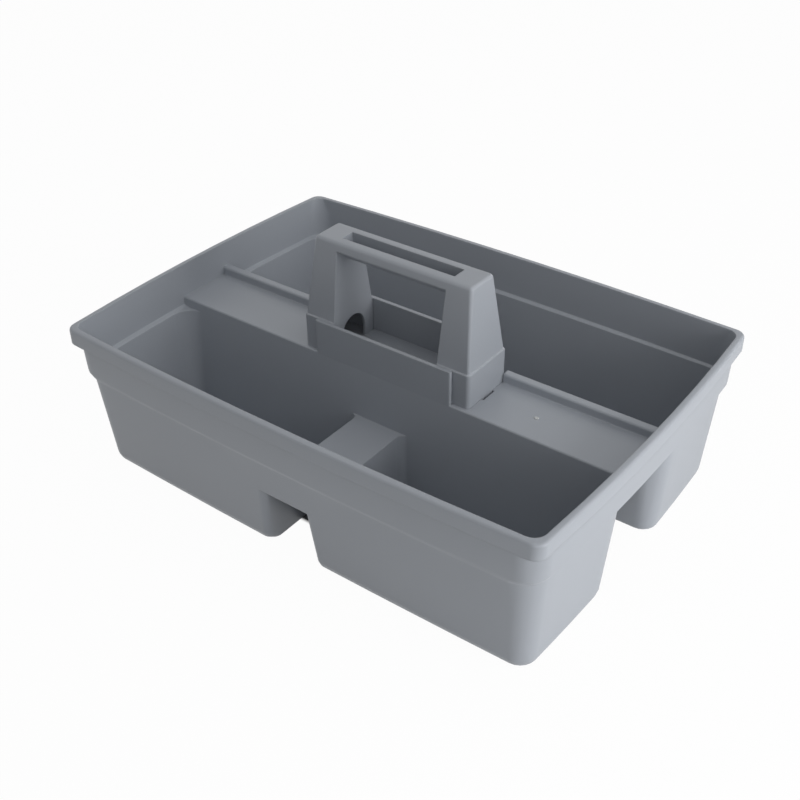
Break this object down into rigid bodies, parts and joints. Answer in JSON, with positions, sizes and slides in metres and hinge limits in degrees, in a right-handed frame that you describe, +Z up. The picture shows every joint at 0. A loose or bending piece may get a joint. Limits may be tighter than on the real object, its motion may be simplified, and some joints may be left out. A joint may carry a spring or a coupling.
{
  "type": "tool storage caddy",
  "caption": "Open moulded tool caddy with a long rear tray, divided front trays, a hollow ridge between them and an upright carrying handle.",
  "frame": {"origin": "centre of the footprint, on the floor", "axes": "+X runs along the caddy's length, +Y points to the long rear compartment, +Z is up; the divided front compartments are on the -Y side"},
  "size_m": [0.4112, 0.2908, 0.183],
  "materials": {
    "tub_plastic": "fine moulded satin, mid grey",
    "handle_plastic": "fine moulded satin, mid grey"
  },
  "bodies": {
    "root": {"tub": "tub_plastic", "handle": "handle_plastic"}
  },
  "joints": []
}
